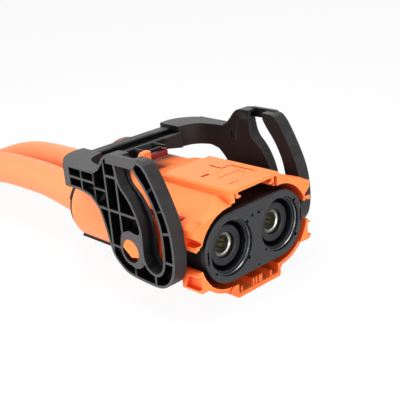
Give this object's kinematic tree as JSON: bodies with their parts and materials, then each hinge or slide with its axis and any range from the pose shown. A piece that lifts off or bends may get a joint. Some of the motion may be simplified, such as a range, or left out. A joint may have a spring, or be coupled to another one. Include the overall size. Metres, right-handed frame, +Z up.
{
  "type": "high voltage connector",
  "caption": "Two-pole shielded high voltage cable connector with touch-proof sockets in a keyed orange shell, a swinging cam lever with a sliding position lock, and stub cables.",
  "frame": {"origin": "centre of the mating face, halfway between the two contact axes", "axes": "-Y points out of the mating face, +Y runs back along the cables, +Z is up, +X is towards the right contact"},
  "size_m": [0.0874, 0.2918, 0.0677],
  "materials": {
    "shell_orange": "fine spark-eroded satin",
    "insert_charcoal": "fine matte",
    "cap_grey": "fine matte",
    "seal_black": "smooth silicone",
    "retainer_black": "fine matte",
    "shield_metal": "drawn and tinned",
    "guard_charcoal": "fine matte",
    "contact_metal": "silver plated, turned",
    "spring_metal": "silver plated, worn to olive",
    "shunt_metal": "tin plated",
    "crimp_metal": "drawn",
    "cable_jacket": "extruded satin",
    "core_copper": "bare stranded copper",
    "lever_charcoal": "glass-filled satin",
    "lock_crimson": "moulded satin"
  },
  "bodies": {
    "housing": {"outer_housing": "shell_orange", "insert_housing": "insert_charcoal", "front_cap": "cap_grey", "interface_seal": "seal_black", "shield_sleeve_left": "shield_metal", "shield_sleeve_right": "shield_metal", "touch_guard_left": "guard_charcoal", "touch_guard_right": "guard_charcoal", "contact_left": "contact_metal", "contact_right": "contact_metal", "contact_spring_left": "spring_metal", "contact_spring_right": "spring_metal", "interlock_shunt": "shunt_metal", "crimp_ring_left": "crimp_metal", "crimp_ring_right": "crimp_metal", "rear_cover": "shell_orange", "seal_retainer": "retainer_black", "cable_seal_left": "seal_black", "cable_seal_right": "seal_black", "cable_end_left": "cable_jacket", "cable_end_right": "cable_jacket", "cable_left": "cable_jacket", "cable_right": "cable_jacket", "core_tip_left": "core_copper", "core_tip_right": "core_copper"},
    "lever": {"lever": "lever_charcoal"},
    "locking_slide": {"locking_slide": "lock_crimson"}
  },
  "joints": [
    {"name": "lever_hinge", "type": "hinge", "parent": "housing", "child": "lever", "pos_m": [0, 0.0335, 0], "axis": [1, 0, 0], "range_deg": [0, 88]},
    {"name": "lock_slide", "type": "slide", "parent": "lever", "child": "locking_slide", "axis": [0, 1, 0], "range_m": [0, 0.005]}
  ]
}
